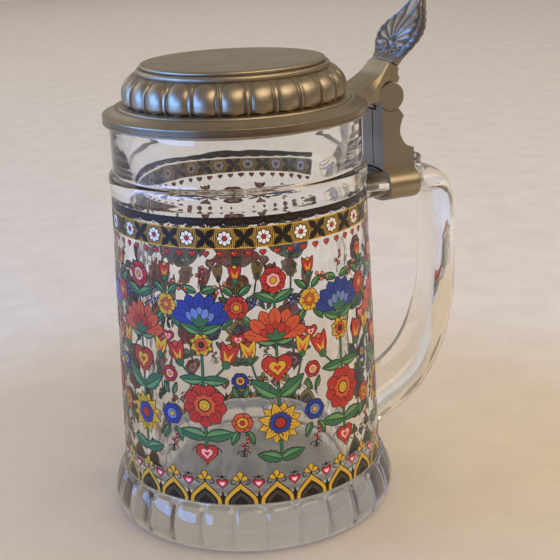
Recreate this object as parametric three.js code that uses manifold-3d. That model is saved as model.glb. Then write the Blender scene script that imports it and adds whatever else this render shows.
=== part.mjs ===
// A half-litre pressed glass beer mug with a hinged pewter lid.
// Millimetres. The mug's axis is Z, it stands on z = 0, and its handle points along +X.

import * as THREE from 'three';
import { mergeVertices } from 'three/addons/utils/BufferGeometryUtils.js';
import Module from 'manifold-3d';

const wasm = await Module();
wasm.setup();

// Glass body, from the foot up
const bodyFootRadius = 47.5;
const bodyTopRadius = 45;
const bodyTopHeight = 119.4;
const bodyFootWall = 10.5;
const bodyTopWall = 6.4;
const floorThickness = 15;
const floorCornerRadius = 9;
const ringBulge = 0.6;
const ringHeight = 7.8;
const ringRound = 0.4;
const neckSetBack = 1.1;
const neckTaperRise = 17.5;
const rimWall = 3.1;
const rimHeight = 144.5;
const rimRound = 2.1;

// Foot with its cushion panels, which stands out from the body
const footStandOut = 4.5;
const footHeight = 17;
const footWidestHeight = 6.5;
const footRestInset = 2.5;
const footEdgeInset = 0.8;
const footEdgeHeight = 2.3;
const footShoulderInset = 2.4;
const footShoulderHeight = 14.6;
const panelCount = 28;
const panelGrooveDepth = 0.9;

// Glass handle: half thickness is measured across the grip, half width along Y
const barHeight = 112.3;
const barHalfThickness = 4.9;
const barHalfWidth = 11.1;
const bendReach = 14.1;
const bendHalfWidth = 10.3;
const gripHalfThickness = 4.8;
const gripHalfWidth = 9.5;
const rootHeight = 26;
const rootHalfThickness = 8.2;
const rootHalfWidth = 10.5;
const rootDip = 4.6;
const sectionRoundness = 2.8;
const lugLength = 4.2;
const lugHalfWidth = 5;
const lugStandProud = 2.4;

// Metal collar round the handle's top bar, with the hinge bracket on it
const collarStandOff = 9.1;
const collarLength = 13;
const collarWall = 1.4;
const collarClearance = 0.3;
const bracketHalfWidth = 8;
const bracketDepth = 8.9;
const bracketSeam = 0.5;
const bracketSeamDepth = 0.7;
const seatGap = 0.3;

// Hinge
const hingeRise = 0.2;
const hingeSetBack = 3.6;
const earRadius = 5.1;
const earCapThickness = 1;
const knuckleRadius = 5.9;
const knuckleHalfWidth = 2.4;
const knuckleSideClearance = 0.3;
const pinRadius = 1.5;
const pinClearance = 0.1;
const turningClearance = 0.45;

// Lid: insets are counted in from its lip, rises up from its seat on the rim
const rimClearance = 0.3;
const lipClearance = 0.6;
const lipWall = 1.6;
const lipDrop = 1.2;
const flangeRise = 1.9;
const stepInset = 4.2;
const stepRise = 4;
const bandFootInset = 6.4;
const bandFootRise = 4.7;
const bandInset = 7.1;
const bandRise = 9.4;
const bandTopInset = 12.7;
const bandTopRise = 15.2;
const lobeCount = 25;
const lobeDepth = 1.3;
const lobePhase = 1.1;
const plateauInset = 13;
const plateauTopInset = 14.5;
const plateauRise = 18.3;
const plateauEdge = 1.9;
const edgeRound = 0.3;
const lidWall = 2;

// Strap from the lid to the hinge, counted from the hinge's axis
const strapHalfWidth = 7;
const strapRise = 12.5;
const strapFlare = 13;
const strapFlareLength = 8;
const strapRootInset = 3.6;
const strapFrontDepth = 4.2;
const strapFrontRise = 8.1;
const strapNeckDepth = 3.8;
const heelDepth = 4.1;
const heelRise = 6.5;
const heelToeRise = 4.4;

// Thumb lift on the strap
const liftLean = 33.5;
const liftLength = 28.8;
const liftHalfWidth = 12.9;
const liftNeckHalfWidth = 6.6;
const liftTipHalfWidth = 2.2;
const liftThickness = 3.2;
const liftPetals = 6;
const petalBulge = 0.9;
const scrollRadius = 3.1;
const scrollRise = 1.1;

// Facets round a turn, round a bar along Y and round a handle section
const bodySegments = 56;
const barSegments = 24;
const sectionPoints = 24;

// Places worked out from the sizes
const footRadius = bodyFootRadius + footStandOut;
const neckRadius = bodyTopRadius - neckSetBack;
const innerFootRadius = bodyFootRadius - bodyFootWall;
const innerTopRadius = bodyTopRadius - bodyTopWall;
const innerRimRadius = neckRadius - rimWall;
const collarStart = bodyTopRadius + ringBulge + collarStandOff;
const collarEnd = collarStart + collarLength;
const collarBoreThickness = barHalfThickness + collarClearance;
const collarBoreWidth = barHalfWidth + collarClearance;
const collarTop = barHeight + collarBoreThickness + collarWall;
const gripReach = collarEnd + bendReach;
const hingeX = collarStart + hingeSetBack;
const hingeHeight = rimHeight + hingeRise;
const seat = rimHeight + rimClearance;
const lipRadius = neckRadius + lipClearance + lipWall;
const bandFootRadius = lipRadius - bandFootInset;
const bandRadius = lipRadius - bandInset;
const bandTopRadius = lipRadius - bandTopInset;
const plateauRadius = lipRadius - plateauInset;
const plateauTopRadius = lipRadius - plateauTopInset;

const glass = new THREE.MeshStandardMaterial({
  color: 0xe6ebe8, roughness: 0.05, metalness: 0, transparent: true, opacity: 0.35,
});
const pewter = new THREE.MeshStandardMaterial({ color: 0x9a9284, roughness: 0.38, metalness: 0.9 });
const darkPewter = new THREE.MeshStandardMaterial({ color: 0x6f6a66, roughness: 0.32, metalness: 0.9 });
const steel = new THREE.MeshStandardMaterial({ color: 0x8c8c8a, roughness: 0.3, metalness: 1 });

const radians = THREE.MathUtils.degToRad;
const mix = THREE.MathUtils.lerp;

// The strap's top slopes so that the leaned thumb lift stands square on it
const lean = radians(liftLean);
const strapTop = hingeHeight + strapRise;
const strapNeckFall = strapNeckDepth * Math.tan(lean);

// A closed geometry as a solid, turned outwards if its faces point in
function solid(geometry) {
  const bare = geometry.clone();
  bare.deleteAttribute('normal');
  bare.deleteAttribute('uv');
  const welded = mergeVertices(bare, 1e-4);
  const vertProperties = Float32Array.from(welded.attributes.position.array);
  const triVerts = Uint32Array.from(welded.index.array);
  const made = new wasm.Manifold(new wasm.Mesh({ numProp: 3, vertProperties, triVerts }));
  if (made.volume() > 0) {
    return made;
  }
  for (let i = 0; i < triVerts.length; i += 3) {
    [triVerts[i + 1], triVerts[i + 2]] = [triVerts[i + 2], triVerts[i + 1]];
  }
  return new wasm.Manifold(new wasm.Mesh({ numProp: 3, vertProperties, triVerts }));
}

function geometryOf(made) {
  const mesh = made.getMesh();
  const geometry = new THREE.BufferGeometry();
  geometry.setAttribute('position', new THREE.BufferAttribute(mesh.vertProperties, 3));
  geometry.setIndex(new THREE.BufferAttribute(mesh.triVerts, 1));
  geometry.computeVertexNormals();
  return geometry;
}

// A profile of [radius, height] points turned round Z
function turned(profile, segments) {
  const points = profile.map(([r, z]) => new THREE.Vector2(r, z));
  return new THREE.LatheGeometry(points, segments).rotateX(Math.PI / 2);
}

// Moves each point of a turned geometry in towards the axis, by cut(angle, height)
function fluted(geometry, cut) {
  const position = geometry.attributes.position;
  for (let i = 0; i < position.count; i += 1) {
    const x = position.getX(i);
    const y = position.getY(i);
    const radius = Math.hypot(x, y);
    if (radius > 1) {
      const left = 1 - cut(Math.atan2(y, x), position.getZ(i)) / radius;
      position.setXY(i, x * left, y * left);
    }
  }
  return geometry;
}

// An outline in X and Z, made solid from y = -halfWidth to y = halfWidth
function slab(shape, halfWidth) {
  const geometry = new THREE.ExtrudeGeometry(shape, {
    depth: 2 * halfWidth, bevelEnabled: false, curveSegments: 8,
  });
  return solid(geometry.rotateX(Math.PI / 2).translate(0, halfWidth, 0));
}

// A round bar along Y, centred on the hinge
function hingeBar(radius, halfLength) {
  const bar = new THREE.CylinderGeometry(radius, radius, 2 * halfLength, barSegments);
  return solid(bar.translate(hingeX, 0, hingeHeight));
}

// A rounded oblong section, between an ellipse and a box
function oblong(halfThickness, halfWidth) {
  const power = 2 / sectionRoundness;
  const points = [];
  for (let i = 0; i < sectionPoints; i += 1) {
    const angle = (2 * Math.PI * i) / sectionPoints;
    const c = Math.cos(angle);
    const s = Math.sin(angle);
    points.push([
      halfThickness * Math.sign(c) * Math.abs(c) ** power,
      halfWidth * Math.sign(s) * Math.abs(s) ** power,
    ]);
  }
  return points;
}

// Sections carried along a line in the XZ plane: each station has a place, a direction and a section
function carried(stations) {
  const positions = [];
  const index = [];
  for (const { x, z, dx, dz, section } of stations) {
    for (const [across, along] of section) {
      positions.push(x - dz * across, along, z + dx * across);
    }
  }
  for (let ring = 0; ring + 1 < stations.length; ring += 1) {
    for (let k = 0; k < sectionPoints; k += 1) {
      const a = ring * sectionPoints + k;
      const b = ring * sectionPoints + ((k + 1) % sectionPoints);
      index.push(a, b, b + sectionPoints, a, b + sectionPoints, a + sectionPoints);
    }
  }
  for (const ring of [0, stations.length - 1]) {
    const centre = positions.length / 3;
    positions.push(stations[ring].x, 0, stations[ring].z);
    for (let k = 0; k < sectionPoints; k += 1) {
      const a = ring * sectionPoints + k;
      const b = ring * sectionPoints + ((k + 1) % sectionPoints);
      index.push(...(ring === 0 ? [centre, b, a] : [centre, a, b]));
    }
  }
  const geometry = new THREE.BufferGeometry();
  geometry.setAttribute('position', new THREE.Float32BufferAttribute(positions, 3));
  geometry.setIndex(index);
  return solid(geometry);
}

// Glass: the heavy foot has cushion panels with a groove between each two
function foot() {
  const profile = [
    [0, 0],
    [footRadius - footRestInset, 0],
    [footRadius - footEdgeInset, footEdgeHeight],
    [footRadius, footWidestHeight],
    [footRadius - footShoulderInset / 3, (footWidestHeight + footShoulderHeight) / 2],
    [footRadius - footShoulderInset, footShoulderHeight],
    [bodyFootRadius, footHeight],
    [0, footHeight],
  ];
  const geometry = fluted(turned(profile, panelCount * 4), (angle, z) => {
    const atGroove = Math.abs(Math.cos((angle * panelCount) / 2)) < 0.01;
    const onPanel = z > footEdgeHeight / 2 && z < (footShoulderHeight + footHeight) / 2;
    return atGroove && onPanel ? panelGrooveDepth : 0;
  });
  return solid(geometry);
}

function outside() {
  const ringRadius = bodyTopRadius + ringBulge;
  return solid(turned([
    [0, footWidestHeight],
    [bodyFootRadius, footWidestHeight],
    [bodyFootRadius, footHeight],
    [bodyTopRadius, bodyTopHeight],
    [ringRadius - ringRound, bodyTopHeight + ringHeight / 5],
    [ringRadius, bodyTopHeight + ringHeight / 2],
    [ringRadius - ringRound, bodyTopHeight + (ringHeight * 3) / 4],
    [neckRadius, bodyTopHeight + ringHeight],
    [neckRadius, rimHeight - rimRound],
    [neckRadius - rimRound * 0.3, rimHeight - rimRound * 0.3],
    [neckRadius - rimRound * 0.7, rimHeight],
    [0, rimHeight],
  ], bodySegments));
}

function inside() {
  const profile = [[0, floorThickness]];
  const cornerSteps = 5;
  for (let step = 0; step <= cornerSteps; step += 1) {
    const angle = (step / cornerSteps) * (Math.PI / 2);
    profile.push([
      innerFootRadius - floorCornerRadius * (1 - Math.sin(angle)),
      floorThickness + floorCornerRadius * (1 - Math.cos(angle)),
    ]);
  }
  profile.push(
    [innerTopRadius, bodyTopHeight],
    [innerRimRadius, bodyTopHeight + neckTaperRise],
    [innerRimRadius, rimHeight - rimRound / 2],
    [innerRimRadius + rimRound * 0.7, rimHeight + 1],
    [0, rimHeight + 1],
  );
  return solid(turned(profile, bodySegments));
}

// The handle's middle line as [x, z], with the half sizes of its section there.
// A straight bar leaves the body, bends down, and sweeps back in to the root near the foot.
function handleLine() {
  const drop = barHeight - rootHeight;
  const bar = [barHalfThickness, barHalfWidth];
  const grip = (thicker) => [gripHalfThickness + thicker, gripHalfWidth];
  const root = [rootHalfThickness, rootHalfWidth];
  const sweep = gripReach - bodyFootRadius;
  return [
    [(innerTopRadius + bodyTopRadius) / 2, barHeight, ...bar],
    [collarStart, barHeight, ...bar],
    [collarEnd, barHeight, ...bar],
    [collarEnd + bendReach * 0.56, barHeight - drop * 0.006, ...bar],
    [collarEnd + bendReach * 0.9, barHeight - drop * 0.065, gripHalfThickness, bendHalfWidth],
    [gripReach, barHeight - drop * 0.25, ...grip(0)],
    [gripReach, barHeight - drop * 0.42, ...grip(0.2)],
    [gripReach - sweep * 0.047, barHeight - drop * 0.565, ...grip(0.9)],
    [gripReach - sweep * 0.157, barHeight - drop * 0.71, ...grip(1.7)],
    [gripReach - sweep * 0.332, barHeight - drop * 0.83, ...grip(2.6)],
    [gripReach - sweep * 0.571, barHeight - drop * 0.92, ...root],
    [gripReach - sweep * 0.84, rootHeight + drop * 0.02, ...root],
    [(innerFootRadius + bodyFootRadius) / 2, rootHeight - rootDip, ...root],
  ];
}

function handle() {
  const line = handleLine();
  const places = line.map(([x, z]) => new THREE.Vector3(x, 0, z));
  const curve = new THREE.CatmullRomCurve3(places, false, 'centripetal');
  const spans = line.length - 1;
  const stations = [];
  for (let i = 0; i <= spans * 3; i += 1) {
    const share = i / (spans * 3);
    const place = curve.getPoint(share);
    const way = curve.getTangent(share);
    const at = Math.min(Math.floor(i / 3), spans - 1);
    const along = share * spans - at;
    const section = oblong(
      mix(line[at][2], line[at + 1][2], along),
      mix(line[at][3], line[at + 1][3], along),
    );
    stations.push({ x: place.x, z: place.z, dx: way.x, dz: way.z, section });
  }
  return carried(stations);
}

// The lug on top of the bar stops the collar from sliding off
function lug() {
  const high = collarTop + lugStandProud;
  const near = collarEnd + seatGap;
  const shape = new THREE.Shape();
  shape.moveTo(near, barHeight);
  shape.lineTo(near + lugLength * 1.6, barHeight);
  shape.lineTo(near + lugLength * 1.1, high - lugStandProud / 3);
  shape.lineTo(near + lugLength, high);
  shape.lineTo(near, high);
  return slab(shape, lugHalfWidth);
}

function glassMug() {
  return outside().add(foot()).add(handle()).add(lug()).subtract(inside());
}

// Collar: an oval tube on the bar
function ovalOnBar(halfThickness, halfWidth, from, to) {
  const section = oblong(halfThickness, halfWidth);
  return carried([
    { x: from, z: barHeight, dx: 1, dz: 0, section },
    { x: to, z: barHeight, dx: 1, dz: 0, section },
  ]);
}

function collar() {
  const outer = ovalOnBar(
    collarBoreThickness + collarWall, collarBoreWidth + collarWall,
    collarStart, collarEnd,
  );
  const bore = ovalOnBar(collarBoreThickness, collarBoreWidth, collarStart - 1, collarEnd + 1);
  return outer.subtract(bore);
}

// Bracket: an upright block with two ears, fitted to the collar's top.
// Its back is hollowed between foot and shoulder.
function bracket() {
  const rise = hingeHeight - collarTop;
  const back = collarStart + bracketDepth;
  const shape = new THREE.Shape();
  shape.moveTo(collarStart, barHeight);
  shape.lineTo(collarStart, hingeHeight - earRadius * 0.6);
  shape.lineTo(hingeX, hingeHeight);
  shape.lineTo(hingeX + earRadius * 0.66, hingeHeight - earRadius * 0.95);
  shape.lineTo(back, collarTop + rise * 0.715);
  shape.quadraticCurveTo(
    back - bracketDepth * 0.3, collarTop + rise * 0.5,
    back - bracketDepth * 0.12, collarTop + rise * 0.41,
  );
  shape.quadraticCurveTo(back, collarTop + rise * 0.27, collarEnd, collarTop + rise * 0.24);
  shape.lineTo(collarEnd, barHeight);
  const onCollar = ovalOnBar(
    collarBoreThickness + collarWall + seatGap, collarBoreWidth + collarWall + seatGap,
    collarStart - 1, collarEnd + 1,
  );
  const slot = hingeBar(knuckleRadius + turningClearance, knuckleHalfWidth + knuckleSideClearance);
  const bore = hingeBar(pinRadius + pinClearance, bracketHalfWidth - earCapThickness);
  const seam = new THREE.BoxGeometry(2 * bracketSeamDepth, bracketSeam, 2 * rise);
  return slab(shape, bracketHalfWidth)
    .add(hingeBar(earRadius, bracketHalfWidth))
    .subtract(onCollar)
    .subtract(slot)
    .subtract(bore)
    .subtract(solid(seam.translate(collarStart, 0, collarTop + rise * 0.3)));
}

function pin() {
  return hingeBar(pinRadius, bracketHalfWidth - earCapThickness - pinClearance);
}

// The lid's outer outline, set out by `grow`; the lobed band is added on it
function lidOutline(grow) {
  const stepRadius = lipRadius - stepInset;
  return [
    [0, seat - lipDrop - grow],
    [lipRadius - edgeRound + grow, seat - lipDrop - grow],
    [lipRadius + grow, seat + flangeRise],
    [stepRadius + grow, seat + stepRise - edgeRound + grow],
    [stepRadius - edgeRound + grow, seat + stepRise + grow],
    [bandFootRadius + grow, seat + bandFootRise + grow],
    [bandRadius - lobeDepth + grow, seat + bandFootRise + 1],
    [bandRadius - lobeDepth + grow, seat + bandRise],
    [bandTopRadius + 1.2 + grow, seat + bandTopRise * 0.9],
    [bandTopRadius - 1.2 + grow, seat + bandTopRise + grow],
    [plateauRadius + grow, seat + plateauRise - plateauEdge],
    [plateauRadius + grow, seat + plateauRise - plateauEdge * 0.7],
    [plateauTopRadius + grow, seat + plateauRise + grow],
    [0, seat + plateauRise + grow],
  ];
}

// The band of bulging lobes, with a rib where two meet
function lobedBand() {
  const geometry = turned([
    [0, seat + bandFootRise - edgeRound],
    [bandRadius - lobeDepth / 2, seat + bandFootRise - edgeRound],
    [bandRadius, seat + bandFootRise + lobeDepth],
    [bandRadius, seat + bandRise],
    [bandRadius - lobeDepth * 0.4, seat + bandRise * 1.22],
    [bandRadius - lobeDepth * 1.5, seat + bandRise * 1.43],
    [bandTopRadius, seat + bandTopRise],
    [0, seat + bandTopRise],
  ], lobeCount * 4);
  const made = fluted(geometry, (angle) => {
    const bulge = Math.sqrt(Math.abs(Math.sin((angle * lobeCount) / 2)));
    return lobeDepth * (1 - bulge);
  });
  return solid(made.rotateZ(radians(lobePhase)));
}

function lidHollow() {
  const bore = neckRadius + lipClearance;
  return solid(turned([
    [0, seat - lipDrop - 1],
    [bore, seat - lipDrop - 1],
    [bore, seat],
    [bandFootRadius - lidWall, seat],
    [bandRadius - lobeDepth - lidWall, seat + bandRise],
    [bandTopRadius - lidWall * 1.75, seat + bandTopRise - lidWall * 0.4],
    [plateauTopRadius - lidWall * 2.2, seat + plateauRise - lidWall],
    [0, seat + plateauRise - lidWall],
  ], bodySegments));
}

function lid() {
  return solid(turned(lidOutline(0), bodySegments)).add(lobedBand()).subtract(lidHollow());
}

// Strap: it leaves the flange in a flare and climbs to the thumb lift.
// Its heel stops on the bracket when the lid is open.
function strap() {
  const underside = seat - lipDrop;
  const front = hingeX - strapFrontDepth;
  const root = lipRadius - strapRootInset;
  const side = new THREE.Shape();
  side.moveTo(root, underside);
  side.lineTo(root, seat + flangeRise + edgeRound);
  side.quadraticCurveTo(
    hingeX - strapFlareLength, hingeHeight + strapFrontRise * 0.58,
    front, hingeHeight + strapFrontRise,
  );
  side.lineTo(hingeX, strapTop);
  side.lineTo(hingeX + strapNeckDepth, strapTop - strapNeckFall);
  side.quadraticCurveTo(
    hingeX + heelDepth * 0.7, hingeHeight + heelRise + 1,
    hingeX + heelDepth, hingeHeight + heelRise,
  );
  side.lineTo(hingeX + heelDepth * 0.76, hingeHeight + heelToeRise);
  side.lineTo(hingeX, hingeHeight);
  side.lineTo(hingeX - knuckleRadius * 0.8, underside);

  const plan = new THREE.Shape();
  const flareX = Math.sqrt(lipRadius ** 2 - strapFlare ** 2) - strapRootInset;
  plan.moveTo(flareX, -strapFlare);
  plan.quadraticCurveTo(hingeX - strapFlareLength, -strapHalfWidth - 1, front, -strapHalfWidth);
  plan.lineTo(front, strapHalfWidth);
  plan.quadraticCurveTo(hingeX - strapFlareLength, strapHalfWidth + 1, flareX, strapFlare);
  const flare = new THREE.ExtrudeGeometry(plan, {
    depth: lipDrop + flangeRise, bevelEnabled: false, curveSegments: 6,
  });

  return slab(side, strapHalfWidth)
    .add(solid(flare.translate(0, 0, underside)))
    .subtract(hingeBar(earRadius + turningClearance, bracketHalfWidth + 1))
    .subtract(solid(turned(lidOutline(seatGap), bodySegments)))
    .add(hingeBar(knuckleRadius, knuckleHalfWidth))
    .subtract(hingeBar(pinRadius + pinClearance, knuckleHalfWidth + 1));
}

// Thumb lift: a shell leaf with scalloped petals and two scrolls, leaning back over the handle
function leafOutline() {
  const side = new THREE.SplineCurve([
    new THREE.Vector2(liftNeckHalfWidth, 0),
    new THREE.Vector2(liftHalfWidth * 0.78, liftLength * 0.16),
    new THREE.Vector2(liftHalfWidth, liftLength * 0.42),
    new THREE.Vector2(liftHalfWidth * 0.86, liftLength * 0.58),
    new THREE.Vector2(liftHalfWidth * 0.5, liftLength * 0.72),
    new THREE.Vector2(liftHalfWidth * 0.3, liftLength * 0.87),
    new THREE.Vector2(liftTipHalfWidth, liftLength),
  ]);
  const steps = liftPetals * 4;
  const half = side.getPoints(steps).map(({ x, y }, i) => {
    const scallop = Math.abs(Math.sin((Math.PI * i) / 4)) * Math.sin((Math.PI * i) / steps);
    return new THREE.Vector2(x + petalBulge * scallop, y);
  });
  const other = half.map(({ x, y }) => new THREE.Vector2(-x, y)).reverse();
  return new THREE.Shape([...half, ...other]);
}

function thumbLift() {
  let made = solid(new THREE.ExtrudeGeometry(leafOutline(), {
    depth: liftThickness, bevelEnabled: false, curveSegments: 4,
  }));
  const height = liftThickness + scrollRise;
  for (const side of [-1, 1]) {
    const scroll = new THREE.CylinderGeometry(scrollRadius * 0.8, scrollRadius, height, 14);
    scroll.rotateX(Math.PI / 2).translate(side * liftHalfWidth * 0.4, liftLength * 0.3, height / 2);
    made = made.add(solid(scroll));
  }
  return made;
}

function node(name, made, material) {
  const mesh = new THREE.Mesh(geometryOf(made), material);
  mesh.name = name;
  return mesh;
}

const mug = new THREE.Group();
mug.add(node('glass_mug', glassMug(), glass));
mug.add(node('handle_collar', collar(), pewter));
mug.add(node('hinge_bracket', bracket(), pewter));
mug.add(node('hinge_pin', pin(), steel));
mug.add(node('lid', lid(), pewter));
mug.add(node('lid_strap', strap(), pewter));

// The leaf is drawn flat, stood on its edge, and leaned back by its group on the strap's sloping top
const lift = node('thumb_lift', thumbLift(), darkPewter);
lift.rotation.set(Math.PI / 2, 0, 0);
lift.position.set(0, liftThickness / 2, 0);
const stand = new THREE.Group();
stand.add(lift);
stand.position.set(
  hingeX + strapNeckDepth / 2 + seatGap * Math.sin(lean),
  0,
  strapTop - strapNeckFall / 2 + seatGap * Math.cos(lean),
);
stand.rotation.set(0, lean, -Math.PI / 2, 'YXZ');
mug.add(stand);

export default mug;
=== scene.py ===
# A half-litre pressed glass beer mug with a hinged pewter lid and a printed folk pattern.
# The mug's axis is Z, it stands on z = 0, and its handle points along +X.

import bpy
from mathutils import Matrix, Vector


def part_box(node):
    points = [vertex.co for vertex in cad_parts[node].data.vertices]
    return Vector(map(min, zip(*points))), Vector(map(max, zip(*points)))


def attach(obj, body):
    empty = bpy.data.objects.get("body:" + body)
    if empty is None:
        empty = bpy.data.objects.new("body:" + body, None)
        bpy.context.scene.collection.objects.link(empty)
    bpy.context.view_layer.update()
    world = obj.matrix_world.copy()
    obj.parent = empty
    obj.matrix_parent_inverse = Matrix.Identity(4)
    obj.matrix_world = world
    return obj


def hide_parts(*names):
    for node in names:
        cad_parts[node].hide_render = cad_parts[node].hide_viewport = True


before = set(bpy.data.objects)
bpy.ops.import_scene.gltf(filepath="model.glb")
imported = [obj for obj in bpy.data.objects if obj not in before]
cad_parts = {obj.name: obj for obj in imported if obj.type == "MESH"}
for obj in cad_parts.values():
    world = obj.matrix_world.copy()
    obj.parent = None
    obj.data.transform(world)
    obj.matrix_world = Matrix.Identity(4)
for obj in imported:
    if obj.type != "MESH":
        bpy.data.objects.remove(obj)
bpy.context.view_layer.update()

import math

import bmesh
import bpy
import numpy as np
from mathutils import Matrix, Vector
from mathutils.geometry import delaunay_2d_cdt

# Camera
# It looks down on the mug from beside the handle and is tipped a little, as a hand-held one is.
camera_place = Vector((-0.1751, -0.4063, 0.2195))
camera_heading = math.radians(-25)
camera_tilt = math.radians(72.81)
camera_roll = math.radians(-2.53)
camera_lens = 82.04
film_width = 36
scene = bpy.context.scene


def put_up(name, data):
    """A new object of the scene."""
    made = bpy.data.objects.new(name, data)
    scene.collection.objects.link(made)
    return made


camera_data = bpy.data.cameras.new("camera")
camera_data.lens = camera_lens
camera_data.sensor_width = film_width
camera_data.clip_start = 0.01
camera = put_up("camera", camera_data)
camera.matrix_world = (
    Matrix.Translation(camera_place)
    @ Matrix.Rotation(camera_heading, 4, "Z")
    @ Matrix.Rotation(camera_tilt, 4, "X")
    @ Matrix.Rotation(camera_roll, 4, "Z")
)
scene.camera = camera


# Table and light
# A plain pale table that turns greyer further off, in a dim room; its part towards the room's shaded side is
# painted dark, as painted shade. Two cool windows stand low at the left with a paler one behind them, and
# warm lamps and fills stand in front, at the right and behind.
class Level:
    """An output socket that can be worked with as a number."""

    def __init__(self, finish, socket):
        self.finish = finish
        self.socket = socket

    def maths(self, operation, first, second):
        return self.finish.node("Math", {"operation": operation}, {0: first, 1: second})

    def __add__(self, other):
        return self.maths("ADD", self, other)

    def __radd__(self, other):
        return self.maths("ADD", other, self)

    def __sub__(self, other):
        return self.maths("SUBTRACT", self, other)

    def __rsub__(self, other):
        return self.maths("SUBTRACT", other, self)

    def __mul__(self, other):
        return self.maths("MULTIPLY", self, other)

    def __rmul__(self, other):
        return self.maths("MULTIPLY", other, self)


class Finish:
    """A finish in the making. Its node method adds one shader node and hands back one of its outputs."""

    def __init__(self, name, owner=None):
        self.owner = owner or bpy.data.materials.new(name)
        self.owner.use_nodes = True
        self.tree = self.owner.node_tree
        self.tree.nodes.clear()

    def node(self, kind, settings=None, inputs=None, output=0):
        made = self.tree.nodes.new("ShaderNode" + kind)
        for name, value in (settings or {}).items():
            setattr(made, name, value)
        for name, value in (inputs or {}).items():
            if isinstance(value, Level):
                self.tree.links.new(value.socket, made.inputs[name])
            else:
                made.inputs[name].default_value = value
        return Level(self, made.outputs[output]) if made.outputs else made

    def place(self):
        return self.node("TexCoord", output="Object")

    def noise(self, scale, detail=3):
        inputs = {"Vector": self.place(), "Scale": scale, "Detail": detail, "Roughness": 0.55}
        return self.node("TexNoise", inputs=inputs)

    def mixed(self, share, first, second):
        return self.node("Mix", {"data_type": "RGBA"}, {0: share, 6: first, 7: second}, output=2)

    def spread(self, value, low, high, first=0.0, last=1.0):
        """Goes from first to last while the value goes from low to high."""
        return self.node("MapRange", inputs={0: value, 1: low, 2: high, 3: first, 4: last})

    def measured(self, operation, *vectors):
        """A number from vectors: one's length, or how far one reaches along the other."""
        return self.node("VectorMath", {"operation": operation}, dict(enumerate(vectors)), output="Value")

    def bumped(self, height, strength, distance):
        return self.node("Bump", inputs={"Height": height, "Strength": strength, "Distance": distance})

    def surfaced(self, inputs):
        return self.shown(self.node("BsdfPrincipled", inputs=inputs))

    def shown(self, surface):
        self.node("OutputMaterial", inputs={"Surface": surface})
        return self.owner


def dressed(body, finish):
    """Gives a body its finish, in place of what its slots held."""
    body.data.materials.clear()
    body.data.materials.append(finish)


def full_turn(steps):
    """Even angles all the way round."""
    return 2 * np.pi * np.arange(steps) / steps


table_radius = 2.5
table_drop = 0.00005
near_tones = ((0.60, 0.51, 0.395, 1), (0.55, 0.465, 0.36, 1))
far_tones = ((0.66, 0.625, 0.585, 1), (0.585, 0.55, 0.515, 1))
near_reach = 0.15
far_reach = 0.24
# Painted shade: the table's part towards the shaded side of the room is painted this dark tone.
painted_shade_tone = (0.17, 0.135, 0.105, 1)
shaded_side = (-0.396, -0.918, 0)
painted_shade_start = 0.34
painted_shade_end = 0.5
wall_tone = (0.52, 0.47, 0.40, 1)
low_tone = (0.20, 0.165, 0.12, 1)
high_tone = (0.34, 0.30, 0.25, 1)
room_strength = 0.85

table_mesh = bpy.data.meshes.new("table")
table_edge = [(table_radius * math.cos(a), table_radius * math.sin(a), -table_drop) for a in full_turn(96)]
table_mesh.from_pydata(table_edge, [], [range(len(table_edge))])
table = put_up("table", table_mesh)
cloudy = Finish("pale_table")
mottle = cloudy.spread(cloudy.noise(45) * 0.6 + cloudy.noise(420) * 0.4, 0.35, 0.65)
beyond = cloudy.spread(cloudy.measured("LENGTH", cloudy.place()), near_reach, far_reach)
forward = cloudy.measured("DOT_PRODUCT", cloudy.place(), shaded_side)
top_tone = cloudy.mixed(beyond, cloudy.mixed(mottle, *near_tones), cloudy.mixed(mottle, *far_tones))
dressed(table, cloudy.surfaced({
    # Towards the shaded side the table's colour goes over to the dark tone: painted shade.
    "Base Color": cloudy.mixed(cloudy.spread(forward, painted_shade_start, painted_shade_end), top_tone, painted_shade_tone),
    "Roughness": 0.85,
}))

room = Finish("room", bpy.data.worlds.new("room"))
scene.world = room.owner
direction = room.node("TexCoord", output="Generated")
wall_share = room.spread(room.measured("DOT_PRODUCT", direction, shaded_side), 0.2, -0.65)
height = room.node("SeparateXYZ", inputs={0: direction}, output=2)
near_side = room.mixed(room.spread(height, 0.05, 0.5), low_tone, high_tone)
room.node("OutputWorld", inputs={"Surface": room.node("Background", inputs={
    "Color": room.mixed(wall_share, near_side, wall_tone),
    "Strength": room_strength,
})})

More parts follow.
